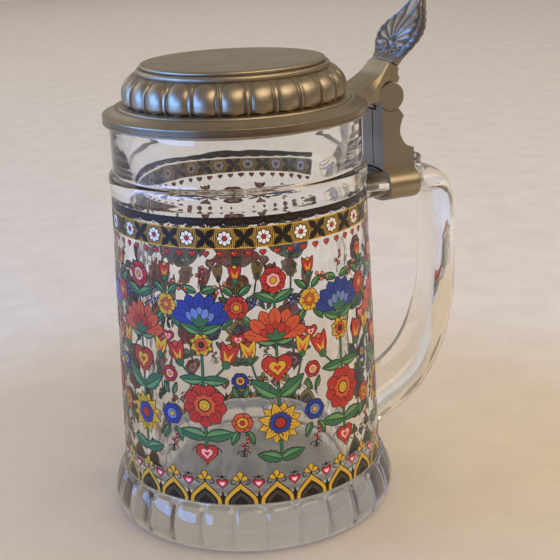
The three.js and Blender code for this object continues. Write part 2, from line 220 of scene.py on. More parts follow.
# Each light is a rectangle that faces the mug's middle: its place in degrees round and up and in metres
# from there, its width and height, its colour and watts, and if shiny surfaces show it.
lit_middle = Vector((0, 0, 0.09))
daylight = (0.14, 0.37, 1.0)
for name, azimuth, elevation, distance, wide, tall, colour, watts, mirrored in [
    ("window", 161, 15, 1.1, 0.62, 0.66, daylight, 9, True),
    ("low_window", 192, 5, 1.1, 0.7, 0.3, daylight, 6, True),
    ("sky", 115, 24, 1.5, 1.0, 0.7, (0.82, 0.88, 1.0), 2, True),
    ("lamp", -78, 45, 1.3, 1.2, 0.8, (1.0, 0.83, 0.6), 8.5, True),
    ("side_lamp", -22, 38, 1.5, 0.9, 0.6, (1.0, 0.84, 0.6), 2.2, True),
    ("far_lamp", 20, 55, 1.5, 1.0, 1.0, (1.0, 0.88, 0.74), 3, False),
    ("ceiling", -20, 62, 1.6, 1.2, 1.2, (1.0, 0.93, 0.84), 2, False),
    ("fill", -98, 11, 1.3, 0.9, 0.4, (1.0, 0.86, 0.7), 6, False),
    ("back_glow", 75, 38, 2.6, 2.2, 1.6, (1.0, 0.95, 0.9), 18, False),
]:
    light_data = bpy.data.lights.new(name, "AREA")
    light_data.shape = "RECTANGLE"
    light_data.size = wide
    light_data.size_y = tall
    light_data.color = colour
    light_data.energy = watts
    light = put_up(name, light_data)
    turn = math.radians(azimuth)
    rise = math.radians(elevation)
    way = Vector((math.cos(turn) * math.cos(rise), math.sin(turn) * math.cos(rise), math.sin(rise)))
    light.location = lit_middle + way * distance
    light.rotation_euler = way.to_track_quat("Z", "Y").to_euler()
    light.visible_glossy = mirrored
    light.visible_transmission = False

scene.view_settings.view_transform = "Standard"
scene.cycles.max_bounces = 40
scene.cycles.glossy_bounces = 32
scene.cycles.transmission_bounces = 32
scene.cycles.transparent_max_bounces = 32
scene.cycles.caustics_refractive = False
scene.cycles.caustics_reflective = False

# Glass mug
# Foot, body, ring, neck and handle are one pressed piece of clear glass with fire-polished edges.
# Its inside narrows towards the bottom, as the plunger that formed it did, and its underside is stippled.
mm = 0.001

foot_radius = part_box("glass_mug")[1].y / mm
rim_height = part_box("glass_mug")[1].z / mm
foot_height = 17
body_foot_radius = 47.5
body_top_radius = 45
body_top = 119.4
ring_bulge = 0.6
ring_height = 7.8
neck_radius = 43.9
rim_round = 2.1
outer_rim_round = rim_round * 0.75
inner_rim_round = rim_round * 0.6
base_dish = 0.8
panels = 28
panel_top = foot_height - 0.7
panel_start = 0.8
panel_rise = 3.5
panel_round = 2.4
panel_groove = 1.25
panel_crown = 0.5
groove_half_width = 0.6
groove_blend = 0.3
inner_foot_radius = 37
inner_top_radius = 38.6
inner_rim_radius = 40.8
floor_height = 15
floor_round = 9

bar_height = 112.3
bar_section = (4.9, 11.1)
collar_start = 54.7
collar_end = 67.7
bend_reach = 14.1
grip_half_width = 9.5
root_height = 26
root_section = (8.2, 10.5)
section_power = 2.35
bend_power = 2.6
grip_power = 2.85
lug_gap = 0.3
lug_length = 5.2
lug_half_width = 5
lug_taper = 0.6
lug_top = 122.2
lug_shoulder = 1.2
lug_round = 1.25
lug_power = 4
crease_angle = 38


def eased(value):
    """0 to 1, with a soft start and end."""
    value = np.clip(value, 0, 1)
    return value * value * (3 - 2 * value)


def squared(value, power):
    """A sine or cosine for an oblong with rounded corners: an ellipse at power 2, and squarer above it."""
    return np.sign(value) * np.abs(value) ** (2 / power)


def soft_line(points, steps):
    """A smooth line through the points, each of any number of values, with that many steps a span."""
    points = np.array(points, float)
    knots = np.concatenate([[2 * points[0] - points[1]], points, [2 * points[-1] - points[-2]]])
    line = []
    for before, start, end, after in zip(knots, knots[1:], knots[2:], knots[3:]):
        for t in np.arange(steps) / steps:
            line.append(0.5 * (
                2 * start + (end - before) * t
                + (2 * before - 5 * start + 4 * end - after) * t**2
                + (3 * start - before - 3 * end + after) * t**3
            ))
    return np.array(line + [points[-1]])


def arc(centre, radius, start, end, steps):
    """Points of [radius, height] on a round corner, from one angle to the other, in degrees."""
    angles = np.radians(np.linspace(start, end, steps + 1))
    return [(centre[0] + radius * np.cos(a), centre[1] + radius * np.sin(a)) for a in angles]


def skinned(rings, closed=False):
    """Points of like rings, and the faces between each ring and the next, also from the last if closed."""
    around = len(rings[0])
    spans = len(rings) if closed else len(rings) - 1
    faces = []
    for row in range(spans):
        here = row * around
        there = (row + 1) % len(rings) * around
        for k in range(around):
            after = (k + 1) % around
            faces.append((here + k, here + after, there + after, there + k))
    return np.concatenate(rings), faces


def capped(rings):
    """A skin over the rings, with a flat face across the first and the last of them."""
    points, faces = skinned(rings)
    around = len(rings[0])
    last = len(points) - around
    return points, faces + [tuple(range(around))[::-1], tuple(range(last, last + around))]


def turned(angles, rows):
    """Rows of (radius, height) carried round the axis. The ends close on it, in the last two points."""
    rings = []
    for radius, height in rows:
        x, y, z = radius * np.cos(angles), radius * np.sin(angles), 0 * angles + height
        rings.append(np.stack([x, y, z], axis=1))
    points, faces = skinned(rings)
    pole = len(points)
    last = pole - len(angles)
    for k in range(len(angles)):
        after = (k + 1) % len(angles)
        faces += [(pole, after, k), (pole + 1, last + k, last + after)]
    ends = [[0, 0, ring[:, 2].mean()] for ring in (rings[0], rings[-1])]
    return np.concatenate([points, ends]), faces


def carried(stations, around):
    """Rounded oblong sections along a line in the XZ plane.

    A station is (x, z, half thickness, half width, power).
    """
    stations = np.asarray(stations, float)
    ways = np.gradient(stations[:, :2], axis=0)
    ways /= np.linalg.norm(ways, axis=1)[:, None]
    angles = full_turn(around)
    rings = []
    for (x, z, half_thickness, half_width, power), (dx, dz) in zip(stations, ways):
        across = half_thickness * squared(np.cos(angles), power)
        wide = half_width * squared(np.sin(angles), power)
        rings.append(np.stack([x - dz * across, wide, z + dx * across], axis=1))
    return capped(rings)


def cast(name, points, faces, sharp=crease_angle):
    """A closed form, given in millimetres, as an object with smooth faces up to its sharp edges."""
    mesh = bpy.data.meshes.new(name)
    mesh.from_pydata((np.asarray(points) * mm).tolist(), [], faces)
    shell = bmesh.new()
    shell.from_mesh(mesh)
    bmesh.ops.recalc_face_normals(shell, faces=shell.faces)
    shell.to_mesh(mesh)
    shell.free()
    mesh.shade_smooth()
    mesh.set_sharp_from_angle(angle=math.radians(sharp))
    return put_up(name, mesh)


def settled(body):
    """Turns what the body's modifiers make of it into its own plain mesh."""
    body.update_tag()
    shown = body.evaluated_get(bpy.context.evaluated_depsgraph_get())
    made = bpy.data.meshes.new_from_object(shown)
    body.modifiers.clear()
    body.data = made


def worked(body, tool, operation):
    """Joins the tool to the body, or cuts it out, and clears the tool away."""
    change = body.modifiers.new("work", "BOOLEAN")
    change.operation = operation
    change.solver = "EXACT"
    change.object = tool
    settled(body)
    bpy.data.objects.remove(tool)


def groove_angles(count, steps):
    """Angles round the mug that crowd together where two of the repeats meet."""
    share = np.sin(np.pi / 2 * (2 * np.arange(steps) / steps - 1))
    return np.concatenate([2 * np.pi / count * (k + share / 2) for k in range(count)])


def foot_rows(angles):
    """The foot's outside, from its rest up to the body, with cushion panels and a groove between each two."""
    envelope = soft_line([
        (foot_radius - 4.6, 0), (foot_radius - 2.4, 0.75), (foot_radius - 0.9, 2.7),
        (foot_radius - 0.02, 6.6), (foot_radius - 0.6, 10.4), (foot_radius - 1.8, 13.9),
        (foot_radius - 3.1, 16.2), (body_foot_radius, foot_height + 0.2),
    ], 9)
    pitch = 2 * np.pi / panels
    aside = np.abs((angles / pitch + 0.5) % 1 - 0.5) * pitch * foot_radius
    half_width = pitch * foot_radius / 2 - groove_half_width
    corner = np.maximum(aside - (half_width - panel_round), 0)
    crown = panel_crown * (aside / half_width) ** 4
    for radius, height in envelope:
        out = np.hypot(corner, max(height - (panel_top - panel_round), 0)) - panel_round
        fall = eased((out + groove_blend) / (groove_half_width + groove_blend))
        depth = min(panel_groove, max(radius - body_foot_radius, 0) * 0.8)
        fade = eased((height - panel_start) / panel_rise)
        yield radius - fade * (fall * depth + crown * (1 - fall)), height


base_line = soft_line([
    (4, base_dish), (16, base_dish * 0.9), (28, base_dish * 0.6), (38, base_dish * 0.22),
    (44, base_dish * 0.03), (foot_radius - 6, 0),
], 4)
wall_line = np.linspace((body_foot_radius, foot_height), (body_top_radius, body_top), 18)
ring_radius = body_top_radius + ring_bulge
ring_line = soft_line([
    (body_top_radius, body_top), (ring_radius - 0.35, body_top + ring_height * 0.16),
    (ring_radius, body_top + ring_height * 0.5), (ring_radius - 0.35, body_top + ring_height * 0.8),
    (neck_radius + 0.25, body_top + ring_height * 0.95), (neck_radius, body_top + ring_height * 1.12),
], 5)
inside_line = soft_line([
    (inner_rim_radius, 141.5), (inner_rim_radius - 0.36, 136.5), (inner_rim_radius - 1.28, 129),
    (inner_top_radius + 0.3, 121.5), (inner_top_radius - 0.3, 112), (inner_top_radius - 0.65, 95),
    (inner_top_radius - 0.9, 75),
], 5)
mug_angles = groove_angles(panels, 16)
mug_rows = [
    *base_line, *foot_rows(mug_angles), *wall_line[1:], *ring_line[1:],
    (neck_radius, 133), (neck_radius, 138),
    *arc((neck_radius - outer_rim_round, rim_height - outer_rim_round), outer_rim_round, 0, 90, 5),
    *arc((inner_rim_radius + inner_rim_round, rim_height - inner_rim_round), inner_rim_round, 90, 180, 5),
    *inside_line, (inner_foot_radius + 0.35, 50),
    *arc((inner_foot_radius - floor_round, floor_height + floor_round), floor_round, 0, -90, 14),
    (18, floor_height), (8, floor_height),
]
glass_mug = cast("pressed_glass_mug", *turned(mug_angles, mug_rows))

drop = bar_height - root_height
reach = collar_end + bend_reach
sweep = reach - body_foot_radius
bar = (*bar_section, section_power)
grip = (grip_half_width, grip_power)
root = (*root_section, grip_power)
handle_line = soft_line([
    ((inner_top_radius + body_top_radius) / 2, bar_height, *bar),
    (collar_start, bar_height, *bar),
    (collar_end, bar_height, *bar),
    (collar_end + bend_reach * 0.56, bar_height - drop * 0.006, *bar),
    (collar_end + bend_reach * 0.9, bar_height - drop * 0.065, 4.8, 10.3, bend_power),
    (reach, bar_height - drop * 0.25, 4.8, *grip),
    (reach, bar_height - drop * 0.42, 5, *grip),
    (reach - sweep * 0.047, bar_height - drop * 0.565, 5.7, *grip),
    (reach - sweep * 0.157, bar_height - drop * 0.71, 6.5, *grip),
    (reach - sweep * 0.332, bar_height - drop * 0.83, 7.4, *grip),
    (reach - sweep * 0.571, bar_height - drop * 0.92, *root),
    (reach - sweep * 0.84, root_height + drop * 0.02, *root),
    ((inner_foot_radius + body_foot_radius) / 2, root_height - 4.6, *root),
], 12)
worked(glass_mug, cast("handle", *carried(handle_line, 80)), "UNION")

lug_line = []
for height in np.linspace(bar_height, lug_top, 12):
    closing = max(0, (height - lug_top + lug_shoulder) / lug_round)
    half_thickness = lug_length / 2 * math.sqrt(1 - closing**2)
    half_width = lug_half_width - lug_taper * eased((height - lug_top + 2) / 2)
    lug_line.append((collar_end + lug_gap + lug_length / 2, height, half_thickness, half_width, lug_power))
worked(glass_mug, cast("lug", *carried(lug_line, 32)), "UNION")
glass_mug.data.shade_smooth()
glass_mug.data.set_sharp_from_angle(angle=math.radians(crease_angle))

clear = Finish("clear_pressed_glass")
level = clear.node("SeparateXYZ", inputs={0: clear.place()}, output=2)
underside_stipple = clear.spread(level, 0.0013, 0.0008, 0.0, 0.22)
glass_body = clear.node("BsdfPrincipled", inputs={
    "Base Color": (0.985, 0.992, 0.98, 1),
    "Roughness": underside_stipple,
    "IOR": 1.5,
    "Transmission Weight": 1.0,
    "Normal": clear.bumped(clear.noise(55, 2), 0.35, 0.0004),
})
see_through = clear.node("BsdfTransparent", inputs={"Color": (0.96, 0.96, 0.94, 1)})
shadow = clear.node("LightPath", output="Is Shadow Ray")
dressed(glass_mug, clear.shown(clear.node("MixShader", inputs={0: shadow, 1: glass_body, 2: see_through})))
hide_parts("glass_mug")
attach(glass_mug, "mug")

# Printed enamels
# A fired transfer on the outside of the body, one pass for each colour: two ornamental borders, a row
# of hearts, and tall bunches of garden flowers between them. It stops short of the handle on both sides.
print_start = math.radians(-339.2)
print_end = math.radians(-22.8)
coat = 0.03
coat_step = 0.012
ink_width = 0.3
slice_width = 1.6
widening = (body_top_radius - body_foot_radius) / (body_top - foot_height)

enamels = {}
for colour, (tone, deep) in {
    "black": ((0.008, 0.006, 0.006), (0.018, 0.013, 0.011)),
    "brown": ((0.075, 0.032, 0.018), (0.05, 0.02, 0.012)),
    "ochre": ((0.44, 0.27, 0.05), (0.36, 0.21, 0.035)),
    "yellow": ((0.60, 0.37, 0.04), (0.50, 0.28, 0.025)),
    "red": ((0.46, 0.042, 0.032), (0.30, 0.02, 0.018)),
    "orange": ((0.56, 0.105, 0.04), (0.42, 0.05, 0.025)),
    "crimson": ((0.48, 0.022, 0.055), (0.34, 0.012, 0.035)),
    "pink": ((0.80, 0.42, 0.40), (0.68, 0.26, 0.26)),
    "green": ((0.05, 0.165, 0.075), (0.022, 0.085, 0.045)),
    "leaf": ((0.16, 0.30, 0.12), (0.07, 0.18, 0.07)),
    "blue": ((0.028, 0.055, 0.30), (0.016, 0.03, 0.17)),
    "sky": ((0.16, 0.24, 0.50), (0.09, 0.14, 0.36)),
    "ash": ((0.10, 0.09, 0.062), (0.07, 0.062, 0.045)),
    "white": ((0.80, 0.78, 0.73), (0.66, 0.63, 0.58)),
}.items():
    enamel = Finish("enamel_" + colour)
    cloud = enamel.noise(260)
    enamels[colour] = enamel.surfaced({
        "Base Color": enamel.mixed(cloud, (*tone, 1), (*deep, 1)),
        "Roughness": cloud * 0.15 + 0.2,
        "Specular IOR Level": 0.3,
        "Normal": enamel.bumped(cloud, 0.2, 0.00002),
    })


def girth_at(height):
    """The body's outer radius at that height."""
    return body_foot_radius + widening * (height - foot_height)


def placed(outline, x, y, turn=0.0):
    """An outline turned clockwise by that many degrees and moved."""
    c, s = math.cos(math.radians(turn)), math.sin(math.radians(turn))
    return np.asarray(outline, float) @ np.array([[c, -s], [s, c]]) + (x, y)


def handed(points, hand, x, y=0.0):
    """Points mirrored if hand is -1, and moved."""
    return np.asarray(points, float) * (hand, 1) + (x, y)


def grown(outline, by):
    """A closed outline set out on all sides."""
    outline = np.asarray(outline, float)
    ahead = np.roll(outline, -1, axis=0)
    turning = np.sum(outline[:, 0] * ahead[:, 1] - ahead[:, 0] * outline[:, 1])
    way = ahead - np.roll(outline, 1, axis=0)
    way /= np.maximum(np.linalg.norm(way, axis=1), 1e-9)[:, None]
    return outline + np.stack([way[:, 1], -way[:, 0]], axis=1) * np.sign(turning) * by


def disc(radius, steps=20):
    return radius * np.stack([np.cos(full_turn(steps)), np.sin(full_turn(steps))], axis=1)


def both_sides(middle, half, rise):
    """A closed outline of that half width about a middle line, up its right side and down its left."""
    left = np.stack([middle - half, rise], axis=1)
    return np.concatenate([np.stack([middle + half, rise], axis=1), left[-2:0:-1]])


def petal(length, width):
    """A petal that stands on the origin: narrow at its foot and round at its tip."""
    s = np.linspace(0, 1, 12) ** 0.85
    return both_sides(0, width / 2 * np.sin(np.pi * s**2) ** 0.75, length * s)


def leaf(length, width, bend=0.0, teeth=0):
    """A pointed leaf that stands on the origin, bent to the right, with or without teeth."""
    s = np.linspace(0, 1, 17)
    half = width / 2 * np.sin(np.pi * s**0.85) ** 0.9
    if teeth:
        half = half + 0.32 * width * np.abs(s * teeth % 1 - 0.5) * np.sin(np.pi * s)
    return both_sides(bend * s**2, half, length * s)


def heart(width, height, steps=26):
    t = full_turn(steps)
    x = 16 * np.sin(t) ** 3
    y = 13 * np.cos(t) - 5 * np.cos(2 * t) - 2 * np.cos(3 * t) - np.cos(4 * t)
    return np.stack([x * width / 32, (y + 2.5) * height / 29], axis=1)


class Transfer:
    """Flat enamel shapes in millimetres along the girth and up, kept by colour, each with its layer."""

    def __init__(self):
        self.passes = {}

    def keep(self, colour, corners, faces, layer, outside_only=False):
        plate = ([tuple(corner) for corner in corners], faces, layer, outside_only)
        self.passes.setdefault(colour, []).append(plate)

    def fill(self, colour, outline, layer):
        """A filled outline, in faces that are narrow enough to bend round the body."""
        outline = np.asarray(outline, float)
        points = []
        for start, end in zip(outline, np.roll(outline, -1, axis=0)):
            parts = max(1, math.ceil(abs(end[0] - start[0]) / slice_width))
            points += [start + (end - start) * k / parts for k in range(parts)]
        edge = list(range(len(points)))
        low, high = outline.min(axis=0), outline.max(axis=0)
        for x in np.arange(math.ceil(low[0] / slice_width), high[0] / slice_width) * slice_width:
            points += [(x, y) for y in np.arange(low[1] + slice_width, high[1], 2 * slice_width)]
        made = delaunay_2d_cdt([Vector(p) for p in points], [], [edge], 1, 1e-5)
        used, faces = np.unique(made[2], return_inverse=True)
        self.keep(colour, [made[0][k] for k in used], faces.reshape(-1, 3).tolist(), layer)

    def line(self, colour, points, width, layer, taper=0.0, outside_only=False):
        """A brush line, drawn finer towards its far end by the taper."""
        points = np.asarray(points, float)
        count = len(points)
        way = np.gradient(points, axis=0)
        way /= np.maximum(np.linalg.norm(way, axis=1), 1e-9)[:, None]
        half = width / 2 * (1 - taper * np.linspace(0, 1, count))
        across = np.stack([-way[:, 1], way[:, 0]], axis=1) * half[:, None]
        faces = [[k, k + 1, count + k + 1, count + k] for k in range(count - 1)]
        self.keep(colour, np.concatenate([points - across, points + across]), faces, layer, outside_only)

    def inked(self, colour, outline, layer, ink=ink_width):
        """A filled outline with a black line round it."""
        self.fill("black", grown(outline, ink), layer)
        self.fill(colour, outline, layer + 1)

    def dot(self, colour, x, y, radius, layer, steps=10):
        self.fill(colour, disc(radius, steps) + (x, y), layer)


def print_tree():
    """Repeats flat plates along the girth, wraps them on the body's cone and gives them their enamel."""
    tree = bpy.data.node_groups.new("print_on_body", "GeometryNodeTree")
    sockets = {}
    for label, kind in {
        "Plates": "Geometry", "Copies": "Int", "Pitch": "Float", "Start Angle": "Float",
        "Girth Radius": "Float", "Foot Radius": "Float", "Foot Height": "Float", "Widening": "Float",
        "Enamel": "Material",
    }.items():
        made = tree.interface.new_socket(name=label, in_out="INPUT", socket_type="NodeSocket" + kind)
        sockets[label] = made.identifier
    tree.interface.new_socket(name="Print", in_out="OUTPUT", socket_type="NodeSocketGeometry")
    given = tree.nodes.new("NodeGroupInput").outputs

    def node(kind, inputs=(), operation=None):
        made = tree.nodes.new(kind)
        if operation:
            made.operation = operation
        for name, value in dict(inputs).items():
            if isinstance(value, bpy.types.NodeSocket):
                tree.links.new(value, made.inputs[name])
            else:
                made.inputs[name].default_value = value
        return made.outputs[0]

    def maths(operation, *values):
        return node("ShaderNodeMath", enumerate(values), operation)

    offset = node("ShaderNodeCombineXYZ", {"X": given["Pitch"]})
    spots = node("GeometryNodeMeshLine", {"Count": given["Copies"], "Offset": offset})
    copies = node("GeometryNodeInstanceOnPoints", {"Points": spots, "Instance": given["Plates"]})
    flat = node("GeometryNodeRealizeInstances", {"Geometry": copies})
    along, up, out = node("ShaderNodeSeparateXYZ", {0: node("GeometryNodeInputPosition")}).node.outputs
    turn = maths("ADD", maths("DIVIDE", along, given["Girth Radius"]), given["Start Angle"])
    widened = maths("MULTIPLY", maths("SUBTRACT", up, given["Foot Height"]), given["Widening"])
    radius = maths("ADD", maths("ADD", widened, given["Foot Radius"]), out)
    place = node("ShaderNodeCombineXYZ", {
        "X": maths("MULTIPLY", radius, maths("COSINE", turn)),
        "Y": maths("MULTIPLY", radius, maths("SINE", turn)),
        "Z": up,
    })
    wrapped = node("GeometryNodeSetPosition", {"Geometry": flat, "Position": place})
    coated = node("GeometryNodeSetMaterial", {"Geometry": wrapped, "Material": given["Enamel"]})
    tree.links.new(coated, tree.nodes.new("NodeGroupOutput").inputs[0])
    return tree, sockets


body_print, print_sockets = print_tree()


def fired(name, transfer, pitch, first, last, girth_height):
    """Prints a transfer round the body, from the first to the last angle, with one piece for each colour.

    The transfer's x = 0 lies at the first angle, and girth_height is where its widths are true.
    """
    girth = girth_at(girth_height)
    for colour, plates in transfer.passes.items():
        points = []
        faces = []
        for corners, flats, layer, outside_only in plates:
            proud = coat + coat_step * layer
            sunk = coat / 2 if outside_only else proud
            base = len(points)
            count = len(corners)
            points += [(x, y, proud) for x, y in corners] + [(x, y, -sunk) for x, y in corners]
            edges = set()
            for flat in flats:
                faces.append([base + k for k in flat])
                faces.append([base + count + k for k in flat[::-1]])
                edges.update(zip(flat, [*flat[1:], flat[0]]))
            for a, b in edges:
                if (b, a) not in edges:
                    faces.append([base + a, base + count + a, base + count + b, base + b])
        mesh = bpy.data.meshes.new("plates")
        mesh.from_pydata((np.array(points) * mm).tolist(), [], faces)
        piece = put_up(f"print_{name}_{colour}", mesh)
        tool = piece.modifiers.new("print", "NODES")
        tool.node_group = body_print
        for label, value in {
            "Copies": round((last - first) * girth / pitch), "Pitch": pitch * mm, "Start Angle": first,
            "Girth Radius": girth * mm, "Foot Radius": body_foot_radius * mm, "Foot Height": foot_height * mm,
            "Widening": widening, "Enamel": enamels[colour],
        }.items():
            tool[print_sockets[label]] = value
        settled(piece)
        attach(piece, "mug")


# The upper border: a black band with a scalloped edge over a gold band of daisies and leaf crosses
upper_middle = 111.4
upper_step = math.radians(16.2)
upper_pitch = upper_step * girth_at(upper_middle)
half_pitch = upper_pitch / 2
upper = Transfer()
for k in range(2):
    left = k * half_pitch
    sweep_x = np.linspace(0, 1, 13)
    scallop_low = 116.25 - 0.75 * np.sqrt(np.clip(1 - (2 * sweep_x - 1) ** 2, 0, 1))
    edge = [(left + half_pitch * s, z) for s, z in zip(sweep_x, scallop_low)]
    upper.fill("black", edge + [(left + half_pitch, 118.3), (left, 118.3)], 0)
    arcs = [(left + half_pitch * (0.12 + 0.76 * s), 117.35 - 0.75 * math.sin(math.pi * s)) for s in sweep_x]
    upper.line("brown", arcs, 0.22, 1)
    upper.dot("black", left + half_pitch * 0.999, 115.5, 0.3, 0)
for colour, low, high, layer in [
    ("ochre", 108.0, 114.8, 0), ("yellow", 107.95, 108.3, 1), ("yellow", 114.5, 114.85, 1),
]:
    upper.fill(colour, [(0, low), (upper_pitch, low), (upper_pitch, high), (0, high)], layer)
stripes = 20
for k in range(stripes):
    x = upper_pitch * (k + 0.5) / stripes
    upper.line("black", [(x, 108.3), (x, 114.5)], 0.24, 2, outside_only=True)
daisy_reach = 1.75 + 0.62 * np.abs(np.cos(4 * full_turn(64))) ** 0.7
daisy_place = (half_pitch, upper_middle)
daisy = disc(daisy_reach[:, None], 64)[:, ::-1] + daisy_place
upper.fill("black", grown(daisy, ink_width), 3)
upper.fill("white", daisy, 4)
for k in range(8):
    upper.line("black", placed([(0, 0.9), (0, 1.75)], *daisy_place, 22.5 + 45 * k), 0.18, 5)
upper.dot("black", *daisy_place, 0.92, 5, 20)
upper.dot("red", *daisy_place, 0.66, 6, 20)
for edge_x, turns in [(0, (45, 135)), (upper_pitch, (225, 315))]:
    for turn in turns:
        cross_leaf = placed(leaf(4.7, 2.0, teeth=4), edge_x, upper_middle, turn)
        cross_leaf[:, 0] = np.clip(cross_leaf[:, 0], 0, upper_pitch)
        upper.fill("black", cross_leaf, 3)
fired("upper_border", upper, upper_pitch, print_start, print_start + upper_step * 19.5, upper_middle)

# A row of small hearts under it
heart_height = 106.1
heart_pitch = math.radians(5.93) * girth_at(heart_height)
heart_row = Transfer()
heart_row.inked("red", heart(2.15, 1.95) + (heart_pitch / 2, heart_height), 0, 0.22)
heart_row.line("pink", [(heart_pitch / 2 - 0.65, 106.35), (heart_pitch / 2 - 0.45, 106.7)], 0.16, 2)
fired("hearts", heart_row, heart_pitch, print_start, print_end, heart_height)

# The lower border: ogee arches with a finial each, and between them a lance and a heart
lower_edge = 17.5
lower_girth_height = 20
arch_pitch = math.radians(15.17) * girth_at(lower_girth_height)
middle = arch_pitch / 2
lower = Transfer()
for layer, (colour, side) in enumerate([
    ("black", [(5.95, 18.9), (5.45, 20.4), (3.7, 22.4), (2.15, 23.9), (0.95, 24.9), (0.12, 26.2)]),
    ("yellow", [(5.65, 18.8), (5.15, 20.2), (3.45, 22.1), (1.9, 23.6), (0.75, 24.6), (0.06, 25.4)]),
    ("black", [(4.4, 18.6), (3.85, 19.8), (2.5, 21.3), (1.2, 22.4), (0.45, 22.95), (0.04, 23.5)]),
]):
    side = soft_line([(side[0][0] + 0.05, lower_edge), *side], 5)
    lower.fill(colour, np.concatenate([handed(side, 1, middle), handed(side, -1, middle)[::-1]]), layer)
for inset in (0.8, 1.6):
    line = soft_line([
        (4.3 - inset, lower_edge), (4.1 - inset, 18.8), (2.6 - inset * 0.7, 20.6 - inset * 0.4),
        (0, 22.6 - inset),
    ], 6)
    for hand in (-1, 1):
        lower.line("ash", handed(line, hand, middle), 0.3, 3)
for turn, length, width in [(-60, 2.8, 1.7), (60, 2.8, 1.7), (0, 3.4, 1.8)]:
    lower.inked("yellow", placed(petal(length, width), middle, 26.3, turn), 1, 0.25)
lower.dot("black", middle, 26.35, 0.42, 3, 20)
for hand in (-1, 1):
    hook = soft_line([(1.6, 25.0), (2.9, 25.2), (3.3, 26.3), (2.6, 26.9), (2.2, 26.3)], 5)
    lower.line("black", handed(hook, hand, middle), 0.42, 0, 0.2)
for edge_x, hand in [(0, 1), (arch_pitch, -1)]:
    half_lance = [(0, lower_edge), (0.25, lower_edge), (0.3, 18.8), (0.85, 20.3), (0.3, 21.5), (0, 22.6)]
    lower.fill("black", handed(half_lance, hand, edge_x), 1)
    for layer, (colour, *size) in enumerate([
        ("black", 4.4, 4.0), ("crimson", 3.8, 3.4), ("pink", 2.1, 1.8), ("white", 1.2, 0.95),
    ], 2):
        half_heart = [point for point in heart(*size, 48) if point[0] * hand >= -1e-6]
        half_heart.sort(key=lambda point: math.atan2(point[1], point[0] * hand + 1e-3))
        lower.fill(colour, np.array(half_heart) + (edge_x, 25.05), layer)
    lower.fill("black", handed([(0, 27.0), (0.75, 27.7), (0, 28.5)], hand, edge_x), 1)
    lower.line("black", handed([(0, 27.6), (0.9, 27.65), (1.7, 27.95)], hand, edge_x), 0.3, 1)
fired("lower_border", lower, arch_pitch, print_start, print_end, lower_girth_height)

# Between the borders: two kinds of upright garden bunch, in turn, with small blossoms in the gaps
bunch_start = math.radians(-336.5)
bunch_end = math.radians(-23)
bunch_height = 67
bunch_pitch = (bunch_end - bunch_start) / 5 * girth_at(bunch_height)
bunches = Transfer()


def stalk(points, width):
    line = soft_line(points, 8)
    bunches.line("black", line, width + 0.4, 0, 0.3)
    bunches.line("green", line, width, 1, 0.45)


def frond(x, y, turn, length, width, bend, teeth=0):
    """A green leaf with a paler half and a dark vein."""
    bunches.inked("green", placed(leaf(length, width, bend, teeth), x, y, turn), 1)
    pale = leaf(length * 0.8, width * 0.34, bend * 0.8)
    side = -1 if bend > 0 else 1
    bunches.fill("leaf", placed(pale + (side * width * 0.2, length * 0.06), x, y, turn), 3)
    vein = [(bend * s * s, length * s) for s in np.linspace(0.05, 0.86, 7)]
    bunches.line("black", placed(vein, x, y, turn), 0.24, 4, 0.5)


def blossom(x, y, size, petals, outer, inner, eye, pointed=False, layer=4):
    """A round flower seen from the front: two rings of petals and a dotted eye."""
    width = size * 0.8 * math.tan(math.pi / petals)
    shape = leaf(size / 2, width * 1.1) if pointed else petal(size / 2, width)
    for k in range(petals):
        turn = 360 / petals * (k + 0.5)
        bunches.inked(outer, placed(shape, x, y, turn), layer + 2 * (k % 2), 0.25)
        for aside in (-0.1, 0.1):
            stroke = [(aside * width, size * 0.24), (aside * 2 * width, size * 0.4)]
            bunches.line("black", placed(stroke, x, y, turn), 0.2, layer + 4, 0.6)
    for k in range(petals):
        bunches.inked(inner, placed(petal(size * 0.26, width * 0.56), x, y, 360 / petals * k), layer + 4, 0.2)
    bunches.dot("black", x, y, size * 0.15, layer + 6, 20)
    bunches.dot(eye, x, y, size * 0.12, layer + 7, 20)
    for k in range(6):
        bunches.dot("black", *placed((0, size * 0.068), x, y, 60 * k), size * 0.014, layer + 8, 6)


def tulip(x, y, turn, size, sides, core, layer=4):
    """A flower of three petals seen from the side, on a green cup."""
    bunches.inked(core, placed(petal(size * 0.96, size * 0.46), x, y, turn), layer, 0.28)
    for hand in (-1, 1):
        bunches.inked(sides, placed(leaf(size, size * 0.4, hand * size * 0.34), x, y, turn), layer + 2, 0.28)
        shade = placed(leaf(size * 0.66, size * 0.12, hand * size * 0.2), x, y, turn)
        bunches.fill("yellow" if sides != "yellow" else "orange", shade, layer + 4)
    for lift in (0.42, 0.56, 0.7):
        bunches.fill("black", placed(disc(size * 0.022, 6) + (0, size * lift), x, y, turn), layer + 2)
    cup = leaf(size * 0.34, size * 0.3) - (0, size * 0.06)
    bunches.inked("green", placed(cup, x, y, turn), layer + 5, 0.2)


def fan(x, y, size, outer, inner, spread):
    """A bell or a pink: petals spread like a fan over a green cup."""
    for k in range(7):
        aside = spread * (k / 6 - 0.5)
        bunches.inked(outer, placed(petal(size, size * 0.36), x, y, aside), 4 + 2 * (k % 2), 0.25)
        bunches.line("black", placed([(0, size * 0.62), (0, size * 0.88)], x, y, aside), 0.2, 8, 0.5)
    for k in range(5):
        inner_petal = placed(petal(size * 0.58, size * 0.21), x, y, spread * 0.72 * (k / 4 - 0.5))
        bunches.inked(inner, inner_petal, 8 + 2 * (k % 2), 0.2)
    for k in (-1, 0, 1):
        bunches.inked("green", placed(leaf(size * 0.36, size * 0.16), x, y, spread * 0.36 * k), 12, 0.2)


